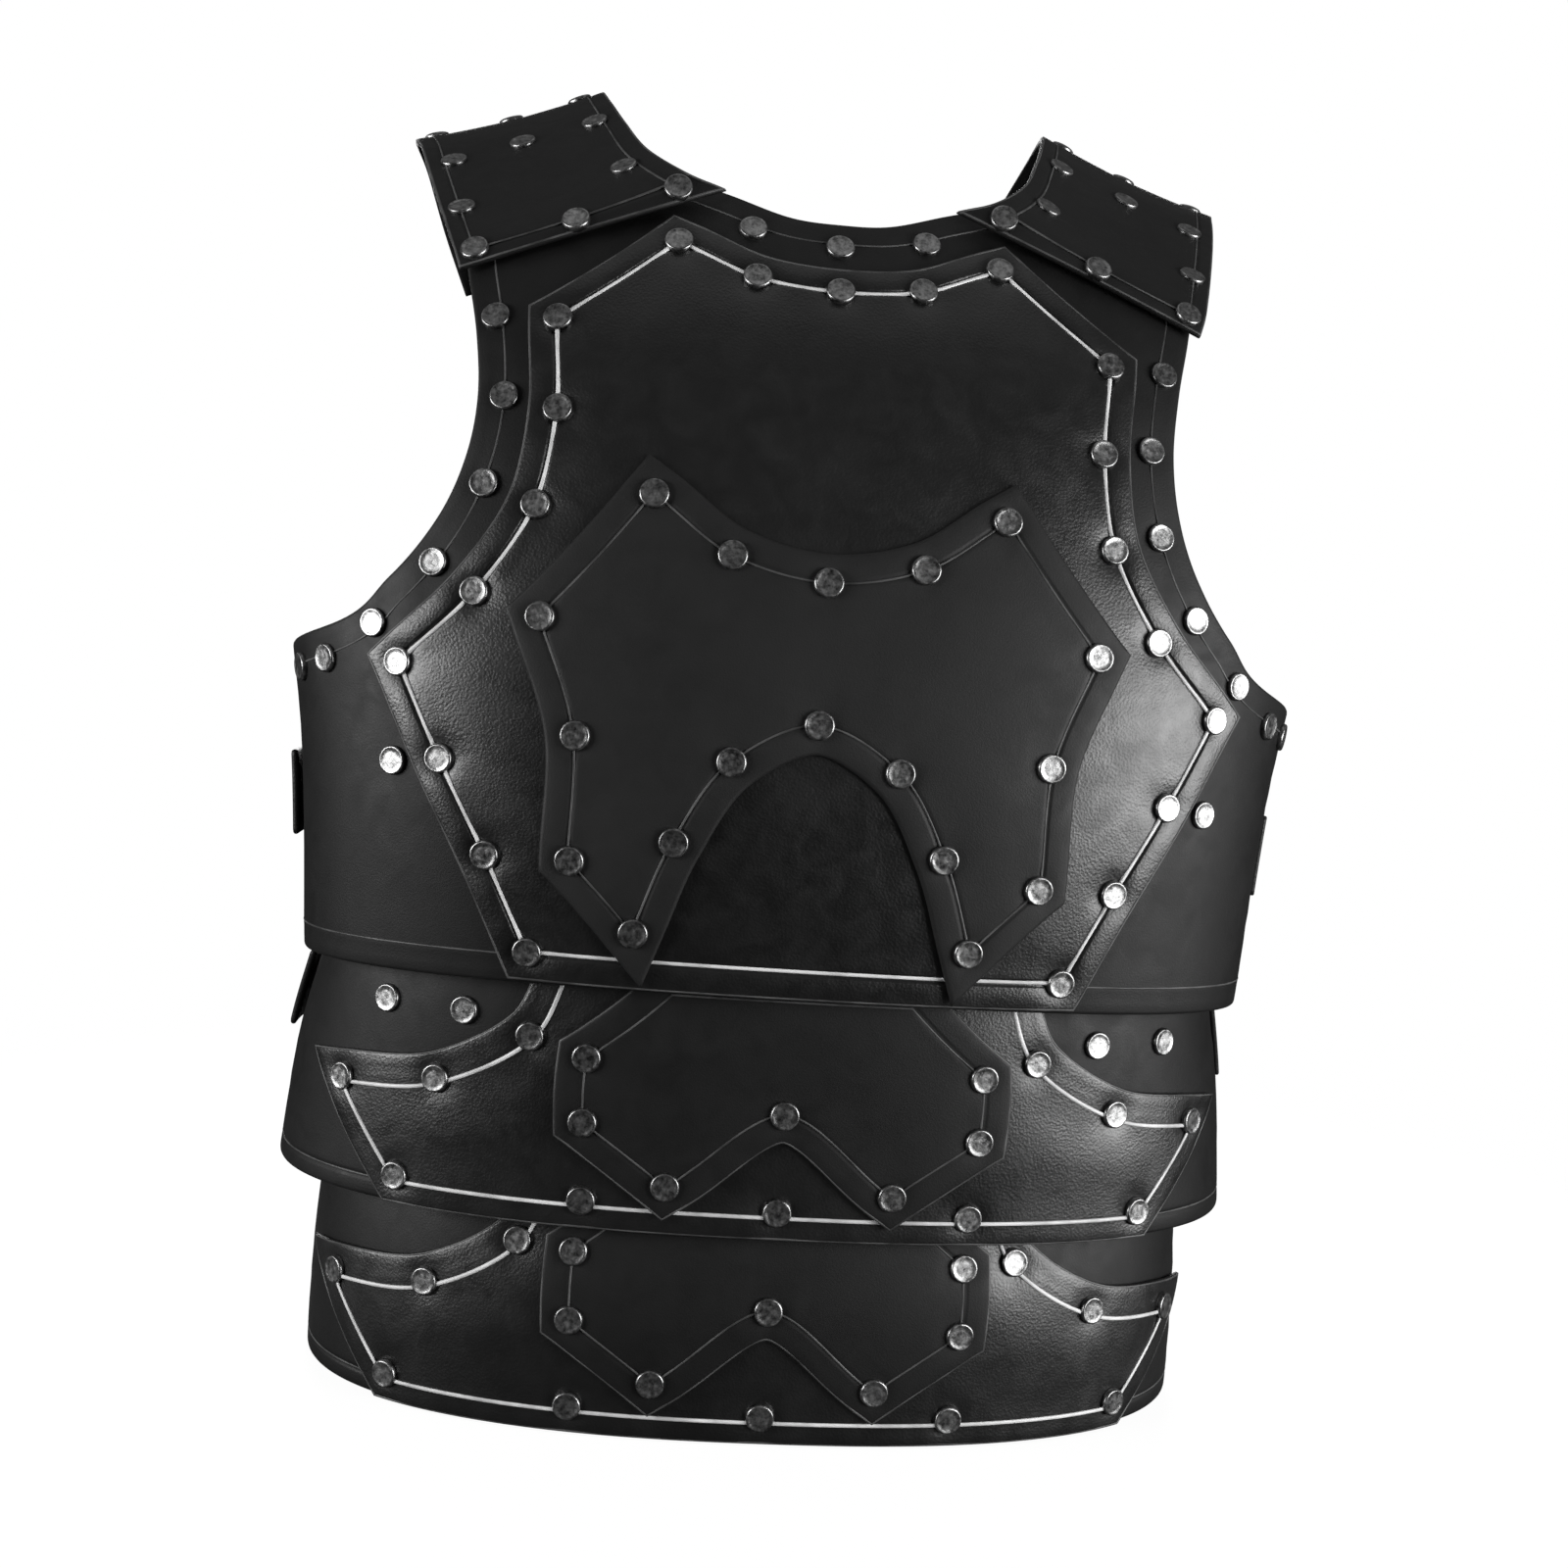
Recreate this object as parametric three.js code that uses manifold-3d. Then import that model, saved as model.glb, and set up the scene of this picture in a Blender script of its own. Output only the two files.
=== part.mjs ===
// Black riveted leather cuirass: a front and a back shell of leather over the torso, doubled by
// shaped plates, with two waist lames below them, shoulder caps, side straps and domed rivets.
// Millimetres, +Z up. The wearer faces -Y. The cuirass stands on its lower hem at z = 0.
import * as THREE from 'three';
import { mergeVertices } from 'three/addons/utils/BufferGeometryUtils.js';
import Module from 'manifold-3d';

const wasm = await Module();
wasm.setup();

// ---------------------------------------------------------------- driving dimensions
const LEATHER = 3.0;        // thickness of a plate
const LAYER = 3.9;          // from the face of one plate to the face of the plate on it
const RIM = 12;             // from a line of rivets to the cut edge
const ROUNDNESS = 2.4;      // exponent of the torso's oval: 2 is an ellipse, more is squarer
const CELL_TURN = 7.2;      // degrees between the folds of a bent plate
const BACK_CELL_TURN = 12;  // the same for the plain leather of the back
const CELL_HEIGHT = 43;     // height of one facet of a bent plate
const OUTLINE_PIECES = 2;   // straight pieces between two points of a smooth outline
const CAP_CELLS = { across: 3, along: 10 };
const FRONT_TURN = 94;      // degrees from the front to the side edge of a front band
const BACK_TURN = 102;      // degrees from the front to the side edge of a back band

// A rivet head: radius at the foot and at the flat top, and height. A head that is a piece of
// its own is seated just clear of the leather; a joined one has fewer sides and a root in it.
const RIVET = { radius: 6.2, top: 5.2, height: 2.2 };
const SEPARATE = { sides: 8, foot: 0.35 };
const JOINED = { sides: 6, foot: -1.2 };

// The torso under the leather's outer face, one row for each height. half_width is at the
// sides, front and back are the y of the middle, side is the y where the oval is widest.
const TORSO = [
  { z: 190, half_width: 214.5, front: -126, side: -24, back: 112 },
  { z: 285, half_width: 220.5, front: -130, side: -25, back: 125 },
  { z: 385, half_width: 236, front: -121, side: -16, back: 137 },
  { z: 465, half_width: 239, front: -99, side: 5, back: 139 },
  { z: 535, half_width: 235, front: -58, side: 42, back: 127 },
  { z: 580, half_width: 230, front: -20, side: 80, back: 107 },
];
const UPPER_LAME = [
  { z: 92, half_width: 225.5, front: -112, side: 8, back: 112 },
  { z: 150, half_width: 218.5, front: -111, side: 4, back: 106 },
  { z: 195, half_width: 207, front: -109.5, side: -8, back: 90 },
  { z: 225, half_width: 201, front: -102, side: -8, back: 79 },
];
const LOWER_LAME = [
  { z: 0, half_width: 208, front: -105.5, side: 8, back: 106 },
  { z: 25, half_width: 208, front: -105.5, side: 8, back: 106 },
  { z: 60, half_width: 207, front: -104.5, side: 8, back: 105 },
  { z: 92, half_width: 204.5, front: -98.5, side: 8, back: 99 },
  { z: 130, half_width: 200, front: -90, side: 8, back: 90 },
];

// Lines of rivets, right half, from the middle of the top round to the middle of the bottom.
// At a corner the line turns sharply; through the other points it runs smoothly.
const CHEST_LINE = [
  { x: 0, z: 490 },
  { x: 35, z: 493.5 },
  { x: 68.5, z: 507, corner: true },
  { x: 116, z: 469, corner: true },
  { x: 113, z: 431 },
  { x: 119, z: 391.5 },
  { x: 141, z: 355 },
  { x: 170.5, z: 324.5, corner: true },
  { x: 151, z: 286.5 },
  { x: 130, z: 249 },
  { x: 110.5, z: 210.5, corner: true },
];
const CENTRE_LINE = [
  { x: 0, z: 368 },
  { x: 39, z: 376 },
  { x: 71.5, z: 398, corner: true },
  { x: 113, z: 346.5, corner: true },
  { x: 96, z: 300.5 },
  { x: 95, z: 250.5, corner: true },
  { x: 68, z: 223, corner: true },
  { x: 54.5, z: 261 },
  { x: 34, z: 294.5 },
  { x: 0, z: 311.5 },
];
// The lames' lines: z is above the lame's own hem, and bare points have no rivet.
const LAME_PLATE_LINE = [
  { x: 94, z: 108, corner: true, bare: true },
  { x: 107.5, z: 80 },
  { x: 146, z: 57 },
  { x: 187, z: 50, corner: true },
  { x: 161, z: 12.5, corner: true },
  { x: 82, z: 12.5 },
  { x: 0, z: 12.5 },
];
const LAME_CENTRE_LINE = [
  { x: 50, z: 102, corner: true, bare: true },
  { x: 83, z: 74, corner: true },
  { x: 83, z: 46.5, corner: true },
  { x: 47.5, z: 22, corner: true },
  { x: 0, z: 55 },
];
const LAME_BAND_RIVETS = [{ x: 171, z: 87 }, { x: 137, z: 87 }];
const LAMES = [
  { name: 'upper_lame', rows: UPPER_LAME, hem: 92, rise: 0, band_rivets: true },
  { name: 'lower_lame', rows: LOWER_LAME, hem: 0, rise: 4.5, band_rivets: false },
];
const BAND_HEIGHT = 128;

// Cut edge of the front leather, right half, from the neck to the hem. A point far round the
// side is given by its turn in degrees.
const FRONT_EDGE = [
  { x: 0, z: 525 },
  { x: 22, z: 526.5 },
  { x: 48, z: 535 },
  { x: 64, z: 540, corner: true },
  { x: 159, z: 500, corner: true },
  { x: 156, z: 487 },
  { x: 150.5, z: 463 },
  { x: 147.5, z: 436 },
  { x: 150.5, z: 410 },
  { x: 160.5, z: 384 },
  { x: 179, z: 359 },
  { x: 203, z: 338 },
  { turn: 94, z: 321, corner: true },
  { turn: 94, z: 192.5, corner: true },
  { x: 110, z: 196.5 },
  { x: 0, z: 197.5 },
];
const BACK_EDGE = [
  { x: 0, z: 548 },
  { x: 48, z: 550 },
  { x: 94, z: 562, corner: true },
  { x: 172, z: 524, corner: true },
  { x: 168, z: 500 },
  { x: 160, z: 440 },
  { x: 172, z: 375 },
  { x: 200, z: 342 },
  { turn: 102, z: 325, corner: true },
  { turn: 102, z: 192.5, corner: true },
  { x: 0, z: 192.5 },
];
const NECK_RIVETS = [{ x: 0, z: 513 }, { x: 37.5, z: 518.5 }];
const ARMHOLE_RIVETS = [
  { x: 142.5, z: 470 },
  { x: 136, z: 436 },
  { x: 141.5, z: 399.5 },
  { x: 160, z: 366 },
  { x: 184, z: 339.5 },
  { x: 205, z: 323 },
];
const TIP_RIVET = { x: 218, z: 318 };
const STRAP_RIVET = { x: 172, z: 283.5 };

// The right shoulder cap, one row for each line across the shoulder, from the front edge over
// the crest to the back edge. Points on the neck side, in the middle and on the arm side.
const SHOULDER = [
  { neck: [50, -66, 535], middle: [105, -74, 512.5], arm: [160, -75, 490] },
  { neck: [67, -63, 541], middle: [115, -68, 518], arm: [164, -67, 500.5] },
  { neck: [85, -33, 557], middle: [130, -33, 537], arm: [174, -35, 523.5] },
  { neck: [96, 0, 576], middle: [140, 0, 558], arm: [184, 0, 546.5] },
  { neck: [104, 30, 592.5], middle: [147, 30, 575.5], arm: [191.5, 30, 563.5] },
  { neck: [109, 58, 603.5], middle: [153, 58, 585.5], arm: [197.5, 58, 572] },
  { neck: [107, 86, 596], middle: [151, 85, 580], arm: [194, 82, 563] },
  { neck: [98, 114, 575], middle: [142, 110, 557], arm: [186, 103, 538] },
  { neck: [84, 131, 548], middle: [130, 127, 530], arm: [175, 117, 510] },
];
// Rivets of a cap: how many rows from the front edge, and which shares of the way from the
// neck side to the arm side.
const SHOULDER_RIVETS = [
  { row: 0.62, shares: [0.1] },
  { row: 0.7, shares: [0.51, 0.92] },
  { row: 1.75, shares: [0.15] },
  { row: 1.85, shares: [0.9] },
  { row: 3.15, shares: [0.86] },
  { row: 3.35, shares: [0.13, 0.5] },
  { row: 5.05, shares: [0.125, 0.49, 0.885] },
  { row: 6.3, shares: [0.13, 0.87] },
  { row: 7.4, shares: [0.12, 0.5, 0.88] },
];

// Side straps, from the back leather round to the edge of the front leather, and their clasps.
const STRAPS = [
  { name: 'chest_strap', rows: TORSO, low: 242, high: 280, clasp: 'chest_clasp' },
  { name: 'waist_strap', rows: UPPER_LAME, low: 148, high: 184.5, clasp: 'waist_clasp' },
];
const STRAP_TURNS = { front: 88, back: 132 };
const STRAP_GAP = 2.6;      // a strap stands this far off the form's face
const CLASP = { front: 106, back: 115, margin: 3 };
const CLASP_GAP = 0.4;      // more clearance between a strap and its clasp

// ---------------------------------------------------------------- materials
const leather = new THREE.MeshStandardMaterial({ color: 0x1b1b1c, roughness: 0.5, metalness: 0 });
const smoothLeather = new THREE.MeshStandardMaterial({ color: 0x202021, roughness: 0.6, metalness: 0 });
const steel = new THREE.MeshStandardMaterial({ color: 0x4a4a4c, roughness: 0.35, metalness: 0.9 });

// ---------------------------------------------------------------- the torso's form
const rad = THREE.MathUtils.degToRad;

// The oval at height z: every column of the rows, smoothed by a cubic through neighbours.
function ovalAt(rows, z) {
  const last = rows.length - 1;
  let i = rows.findIndex((row) => row.z > z) - 1;
  if (z >= rows[last].z) i = last - 1;
  i = Math.max(i, 0);
  const slope = (k, key) => (rows[k + 1][key] - rows[k][key]) / (rows[k + 1].z - rows[k].z);
  const tangent = (k, key) => {
    if (k === 0) return slope(0, key);
    if (k === last) return slope(last - 1, key);
    return (slope(k - 1, key) + slope(k, key)) / 2;
  };
  const span = rows[i + 1].z - rows[i].z;
  const t = (z - rows[i].z) / span;
  const column = (key) => {
    if (t < 0) return rows[i][key] + tangent(i, key) * (z - rows[i].z);
    if (t > 1) return rows[i + 1][key] + tangent(i + 1, key) * (z - rows[i + 1].z);
    const a = rows[i][key] * (2 * t ** 3 - 3 * t ** 2 + 1) + rows[i + 1][key] * (3 * t ** 2 - 2 * t ** 3);
    const b = tangent(i, key) * (t ** 3 - 2 * t ** 2 + t) + tangent(i + 1, key) * (t ** 3 - t ** 2);
    return a + b * span;
  };
  return {
    halfWidth: column('half_width'),
    front: column('front'),
    side: column('side'),
    back: column('back'),
  };
}

// The point of the form at a turn round it, in radians from the front, and a height.
function faceAt(rows, turn, z) {
  const oval = ovalAt(rows, z);
  const depth = Math.cos(turn) > 0 ? oval.side - oval.front : oval.back - oval.side;
  const across = Math.abs(Math.sin(turn)) / oval.halfWidth;
  const along = Math.abs(Math.cos(turn)) / depth;
  const reach = (across ** ROUNDNESS + along ** ROUNDNESS) ** (-1 / ROUNDNESS);
  return new THREE.Vector3(reach * Math.sin(turn), oval.side - reach * Math.cos(turn), z);
}

function normalAt(rows, turn, z) {
  const step = 0.01;
  const round = faceAt(rows, turn + step, z).sub(faceAt(rows, turn - step, z));
  const up = faceAt(rows, turn, z + 1).sub(faceAt(rows, turn, z - 1));
  return round.cross(up).normalize();
}

// The point that lies `out` millimetres outside the form's face.
function onForm(rows, turn, z, out) {
  return faceAt(rows, turn, z).addScaledVector(normalAt(rows, turn, z), out);
}

// The turn of the point that the front view, or with behind the back view, shows at x.
function turnOf(rows, x, z, behind) {
  const oval = ovalAt(rows, z);
  const depth = behind ? oval.back - oval.side : oval.side - oval.front;
  const share = Math.min(Math.abs(x) / oval.halfWidth, 0.9999);
  const y = depth * (1 - share ** ROUNDNESS) ** (1 / ROUNDNESS);
  const turn = Math.atan2(x, y);
  return behind ? Math.PI - turn : turn;
}

// ---------------------------------------------------------------- flat patterns
// A pattern is drawn flat: across is the turn round the form times FLAT, up is the height.
const FLAT = 200;

// A half outline and its mirror image, as one closed ring of points.
function wholeRing(half, behind) {
  const mirrored = half.filter((p) => p.x !== 0).map((p) => {
    if (p.turn) return { ...p, turn: (behind ? 360 : 0) - p.turn };
    return { ...p, x: -p.x };
  });
  return [...half, ...mirrored.reverse()];
}

function patternPoint(rows, point, behind) {
  const turn = point.turn ? rad(point.turn) : turnOf(rows, point.x, point.z, behind);
  return new THREE.Vector2(turn * FLAT, point.z);
}

// The closed outline through a ring of points: straight between two corners that follow each
// other, and a smooth curve through the points between them otherwise.
function drawnOutline(rows, ring, behind) {
  const start = ring.findIndex((p) => p.corner);
  const turned = [...ring.slice(start), ...ring.slice(0, start), ring[start]];
  const drawn = [];
  let run = [turned[0]];
  for (const point of turned.slice(1)) {
    run.push(point);
    if (!point.corner) continue;
    const curve = new THREE.SplineCurve(run.map((p) => patternPoint(rows, p, behind)));
    const pieces = run.length === 2 ? 1 : OUTLINE_PIECES * (run.length - 1);
    drawn.push(...curve.getPoints(pieces).slice(0, -1));
    run = [point];
  }
  return drawn;
}

// The outline moved outwards over the form by the width of a rim, with mitred corners.
function rimmed(rows, outline) {
  const count = outline.length;
  const at = outline.map((p) => faceAt(rows, p.x / FLAT, p.y));
  const handed = Math.sign(THREE.ShapeUtils.area(outline));
  return outline.map((p, i) => {
    const normal = normalAt(rows, p.x / FLAT, p.y);
    const before = at[i].clone().sub(at[(i + count - 1) % count]).cross(normal).normalize();
    const after = at[(i + 1) % count].clone().sub(at[i]).cross(normal).normalize();
    const mitre = before.clone().add(after).divideScalar(1 + before.dot(after));
    const edge = at[i].clone().addScaledVector(mitre, RIM * handed);
    const turn = Math.atan2(edge.x, ovalAt(rows, edge.z).side - edge.y);
    return new THREE.Vector2(turn * FLAT, edge.z);
  });
}

// A band's outline: upright side edges at two turns, in degrees, and level ends.
function bandOutline(from, to, low, high) {
  const corner = (turn, z) => new THREE.Vector2(rad(turn) * FLAT, z);
  return [corner(from, low), corner(to, low), corner(to, high), corner(from, high)];
}

// ---------------------------------------------------------------- solids
const SHEET = 20;           // thickness of the flat sheet that a pattern is cut from
const DOME = 3000;          // the sheet is very slightly domed, which keeps its folds
const DOME_TOP = 300;       // height of the dome's top

function welded(geometry) {
  const copy = geometry.clone();
  copy.deleteAttribute('normal');
  copy.deleteAttribute('uv');
  return mergeVertices(copy, 1e-4);
}

function toSolid(geometry) {
  const mesh = welded(geometry);
  const solid = new wasm.Mesh({
    numProp: 3,
    vertProperties: Float32Array.from(mesh.attributes.position.array),
    triVerts: Uint32Array.from(mesh.index.array),
  });
  return new wasm.Manifold(solid);
}

function toGeometry(solid) {
  const mesh = solid.getMesh();
  const geometry = new THREE.BufferGeometry();
  const positions = new Float32Array((mesh.vertProperties.length / mesh.numProp) * 3);
  for (let i = 0; i < positions.length / 3; i += 1) {
    for (let k = 0; k < 3; k += 1) positions[3 * i + k] = mesh.vertProperties[mesh.numProp * i + k];
  }
  geometry.setAttribute('position', new THREE.BufferAttribute(positions, 3));
  geometry.setIndex(Array.from(mesh.triVerts));
  return geometry;
}

// Every vertex of a geometry moved by a function of its position.
function reshaped(geometry, place) {
  const result = welded(geometry);
  const position = result.attributes.position;
  const point = new THREE.Vector3();
  for (let i = 0; i < position.count; i += 1) {
    place(point.fromBufferAttribute(position, i));
    position.setXYZ(i, point.x, point.y, point.z);
  }
  return result;
}

// The mirror image across the middle, with its faces turned the right way round again.
function mirroredSide(geometry) {
  const result = reshaped(geometry, (p) => p.setX(-p.x));
  const index = Array.from(result.index.array);
  for (let i = 0; i < index.length; i += 3) [index[i + 1], index[i + 2]] = [index[i + 2], index[i + 1]];
  result.setIndex(index);
  return result;
}

const domeAt = (p) => -(p.x ** 2 + 1.5 * (p.y - DOME_TOP) ** 2) / DOME;

const lowestDome = (outline) => Math.min(...outline.map(domeAt));

// A flat sheet with folds at whole cells, large enough for the outline.
function foldedSheet(outline, cellTurn) {
  const box = new THREE.Box2().setFromPoints(outline);
  const cell = rad(cellTurn) * FLAT;
  const left = Math.floor(box.min.x / cell - 0.02);
  const right = Math.ceil(box.max.x / cell + 0.02);
  const low = Math.floor(box.min.y / CELL_HEIGHT - 0.02);
  const high = Math.ceil(box.max.y / CELL_HEIGHT + 0.02);
  const columns = right - left;
  const lines = high - low;
  const sheet = new THREE.BoxGeometry(columns * cell, lines * CELL_HEIGHT, SHEET, columns, lines, 1);
  return reshaped(sheet, (p) => {
    p.x += ((left + right) / 2) * cell;
    p.y += ((low + high) / 2) * CELL_HEIGHT;
    p.z += domeAt(p);
  });
}

// A plate: its pattern is cut from a flat sheet, then bent on to the form `out` outside it.
function bentPlate(rows, outline, out, cellTurn = CELL_TURN) {
  const depth = 4 * SHEET + 2 * Math.abs(lowestDome(outline));
  const prism = new THREE.ExtrudeGeometry(new THREE.Shape(outline), { depth, bevelEnabled: false });
  prism.translate(0, 0, -depth / 2);
  const flat = toSolid(foldedSheet(outline, cellTurn)).intersect(toSolid(prism));
  return reshaped(toGeometry(flat), (p) => {
    const outer = p.z - domeAt(p) > 0;
    p.copy(onForm(rows, p.x / FLAT, p.y, outer ? out : out - LEATHER));
  });
}

// One rivet head along +Z: a short cone frustum from its foot to its flat top.
function rivetHead({ sides, foot }) {
  const profile = [[0, foot], [RIVET.radius, foot], [RIVET.top, RIVET.height], [0, RIVET.height]];
  const points = profile.map(([r, h]) => new THREE.Vector2(r, h));
  return new THREE.LatheGeometry(points, sides).rotateX(Math.PI / 2);
}

function placed(geometry, point, normal) {
  const turn = new THREE.Quaternion().setFromUnitVectors(new THREE.Vector3(0, 0, 1), normal);
  return geometry.clone().applyQuaternion(turn).translate(point.x, point.y, point.z);
}

function rivetOn(rows, { x, z }, out, kind) {
  const turn = turnOf(rows, x, z, false);
  return placed(rivetHead(kind), onForm(rows, turn, z, out), normalAt(rows, turn, z));
}

// A plate with its rivets joined to it.
function riveted(plate, heads) {
  return toGeometry(heads.reduce((sum, head) => sum.add(toSolid(head)), toSolid(plate)));
}

// ---------------------------------------------------------------- assembly
const cuirass = new THREE.Group();
cuirass.name = 'leather_cuirass';

function addPart(name, geometry, material) {
  const flatShaded = geometry.toNonIndexed();
  flatShaded.computeVertexNormals();
  const mesh = new THREE.Mesh(flatShaded, material.clone());
  mesh.name = name;
  cuirass.add(mesh);
}

// Points of a half line and of its mirror image, without the bare ones.
function bothSides(half) {
  return wholeRing(half, false).filter((p) => !p.bare);
}

// Rivets that are pieces of their own, seated just clear of the face they hold.
function addRivets(name, rows, points, out) {
  points.forEach((point, i) => {
    addPart(`${name}_${i + 1}`, rivetOn(rows, point, out, SEPARATE), steel);
  });
}

function addTorso() {
  const frontEdge = drawnOutline(TORSO, wholeRing(FRONT_EDGE, false), false);
  const tips = bothSides([TIP_RIVET]).map((p) => rivetOn(TORSO, p, 0, JOINED));
  addPart('front_base', riveted(bentPlate(TORSO, frontEdge, 0), tips), leather);
  const backEdge = drawnOutline(TORSO, wholeRing(BACK_EDGE, true), true);
  addPart('back_base', bentPlate(TORSO, backEdge, 0, BACK_CELL_TURN), leather);
  const chestLine = drawnOutline(TORSO, wholeRing(CHEST_LINE, false), false);
  addPart('chest_plate', bentPlate(TORSO, rimmed(TORSO, chestLine), LAYER), leather);
  const centreLine = drawnOutline(TORSO, wholeRing(CENTRE_LINE, false), false);
  const centre = bentPlate(TORSO, rimmed(TORSO, centreLine), 2 * LAYER);
  const heads = bothSides(CENTRE_LINE).map((p) => rivetOn(TORSO, p, 2 * LAYER, JOINED));
  addPart('centre_plate', riveted(centre, heads), smoothLeather);
  addRivets('chest_rivet', TORSO, bothSides(CHEST_LINE), LAYER);
  addRivets('neck_rivet', TORSO, bothSides(NECK_RIVETS), 0);
  addRivets('armhole_rivet', TORSO, bothSides(ARMHOLE_RIVETS), 0);
  addRivets('strap_rivet', TORSO, bothSides([STRAP_RIVET]), 0);
}

// One waist lame: a front band with a shaped plate and a centre plate on it, and a back band.
function addLame({ name, rows, hem, rise, band_rivets: bandRivets }) {
  const above = (points, by) => points.map((p) => ({ ...p, z: p.z + by }));
  const layer = (suffix, half, out, material) => {
    const outline = rimmed(rows, drawnOutline(rows, wholeRing(half, false), false));
    const heads = bothSides(half).map((p) => rivetOn(rows, p, out, JOINED));
    addPart(`${name}_${suffix}`, riveted(bentPlate(rows, outline, out), heads), material);
  };
  const front = bentPlate(rows, bandOutline(-FRONT_TURN, FRONT_TURN, hem, hem + BAND_HEIGHT), 0);
  const ends = bandRivets ? bothSides(above(LAME_BAND_RIVETS, hem)) : [];
  const heads = ends.map((p) => rivetOn(rows, p, 0, JOINED));
  addPart(`${name}_front_band`, riveted(front, heads), leather);
  layer('plate', above(LAME_PLATE_LINE, hem), LAYER, leather);
  layer('centre', above(LAME_CENTRE_LINE, hem + rise), 2 * LAYER, smoothLeather);
  const back = bandOutline(BACK_TURN, 360 - BACK_TURN, hem, hem + BAND_HEIGHT);
  addPart(`${name}_back_band`, bentPlate(rows, back, 0, BACK_CELL_TURN), leather);
}

// The point of the right cap's outer face at a row and a share of the way across.
function capAt(row, share) {
  const along = (side) => {
    const points = SHOULDER.map((line) => new THREE.Vector3(...line[side]));
    const curve = new THREE.CatmullRomCurve3(points, false, 'catmullrom');
    return curve.getPoint(row / (SHOULDER.length - 1));
  };
  const neck = along('neck').multiplyScalar((1 - share) * (1 - 2 * share));
  const middle = along('middle').multiplyScalar(4 * share * (1 - share));
  const arm = along('arm').multiplyScalar(share * (2 * share - 1));
  return neck.add(middle).add(arm);
}

function capNormal(row, share) {
  const step = 0.02;
  const last = SHOULDER.length - 1;
  const [near, far] = [Math.max(row - step, 0), Math.min(row + step, last)];
  const across = capAt(row, share + step).sub(capAt(row, share - step));
  return across.cross(capAt(far, share).sub(capAt(near, share))).normalize();
}

function addShoulders() {
  const last = SHOULDER.length - 1;
  const sheet = new THREE.BoxGeometry(1, last, 1, CAP_CELLS.across, CAP_CELLS.along, 1);
  const plate = reshaped(sheet, (p) => {
    const [share, row] = [p.x + 0.5, p.y + last / 2];
    const out = p.z > 0 ? 0 : -LEATHER;
    p.copy(capAt(row, share).addScaledVector(capNormal(row, share), out));
  });
  const heads = SHOULDER_RIVETS.flatMap(({ row, shares }) => shares.map((share) => {
    return placed(rivetHead(JOINED), capAt(row, share), capNormal(row, share));
  }));
  const cap = riveted(plate, heads);
  addPart('right_shoulder_cap', cap, leather);
  addPart('left_shoulder_cap', mirroredSide(cap), leather);
}

// A strap from the back leather round to the front leather, and the plain clasp on it.
function addStrap({ name, clasp, rows, low, high }) {
  const out = LEATHER + STRAP_GAP;
  const strap = bentPlate(rows, bandOutline(STRAP_TURNS.front, STRAP_TURNS.back, low, high), out);
  addPart(`right_${name}`, strap, leather);
  addPart(`left_${name}`, mirroredSide(strap), leather);
  const plateOutline = bandOutline(CLASP.front, CLASP.back, low - CLASP.margin, high + CLASP.margin);
  const plate = bentPlate(rows, plateOutline, out + LAYER + CLASP_GAP);
  addPart(`right_${clasp}`, plate, steel);
  addPart(`left_${clasp}`, mirroredSide(plate), steel);
}

addTorso();
LAMES.forEach(addLame);
addShoulders();
STRAPS.forEach(addStrap);

export default cuirass;
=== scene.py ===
"""Black riveted leather cuirass: leather plates, bands, shoulder caps, straps, rivets and lines.

Lengths are millimetres until a mesh is made. The wearer faces -Y, +Z is up, the hem is at z = 0.
Every plate is drawn as a flat outline and laid on a form, a surface worked out by a formula.
"""

import bpy
import numpy as np
from mathutils import Matrix, Vector
from mathutils.geometry import delaunay_2d_cdt


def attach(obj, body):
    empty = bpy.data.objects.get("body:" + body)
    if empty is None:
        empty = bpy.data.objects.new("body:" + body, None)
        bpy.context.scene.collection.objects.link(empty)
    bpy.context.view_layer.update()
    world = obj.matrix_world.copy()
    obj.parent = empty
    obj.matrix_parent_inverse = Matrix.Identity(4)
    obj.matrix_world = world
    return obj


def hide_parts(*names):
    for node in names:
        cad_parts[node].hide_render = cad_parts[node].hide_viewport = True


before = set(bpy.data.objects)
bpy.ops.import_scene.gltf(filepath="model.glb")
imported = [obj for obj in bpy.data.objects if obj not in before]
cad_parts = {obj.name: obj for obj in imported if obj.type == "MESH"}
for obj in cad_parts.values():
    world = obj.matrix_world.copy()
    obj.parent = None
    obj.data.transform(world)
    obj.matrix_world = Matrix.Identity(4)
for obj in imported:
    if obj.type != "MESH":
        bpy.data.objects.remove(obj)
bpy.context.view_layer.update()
scene = bpy.context.scene

MM = 0.001

# ------------------------------------------------------------------ dimensions
LEATHER = 3.0           # thickness of a plate
LAYER = 3.9             # from the face of one plate to the face of the plate on it
RIM = 12.0              # from a line of rivets to the cut edge
HEM = 8.5               # from a hem's edge to the line pressed along it
CAP_RIM = 8.3           # from a shoulder cap's edge to the line pressed in it
STRAP_OUT = 5.6         # from the form's face to a strap's face
CLASP_OUT = 9.9         # from the form's face to a clasp's face
CROWN_REACH = 16.0      # how far inside the rim a plate's crown comes up
DRAWN_REACH = 7.5       # how far round a rivet the leather is drawn in
LINE_WIDTH = 0.9        # of the bead in a pressed line, whose faint grey is a painted highlight
LINE_HEIGHT = 0.35      # of the same bead
LINE_SUNK = -0.35       # from a face to the foot of the bead in a pressed line
HIGHLIGHT_BEAD_WIDTH = 1.8    # of the bead on the chest and the waist plates, painted near white as a highlight
EDGE_IN = 0.7           # from a cut edge to the bead along it, whose light grey is a painted highlight on the edge
EDGE_WIDTH = 1.1        # of that bead
HEAD_TOP = 1.75         # from a rivet head's seat to its flat top
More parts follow.
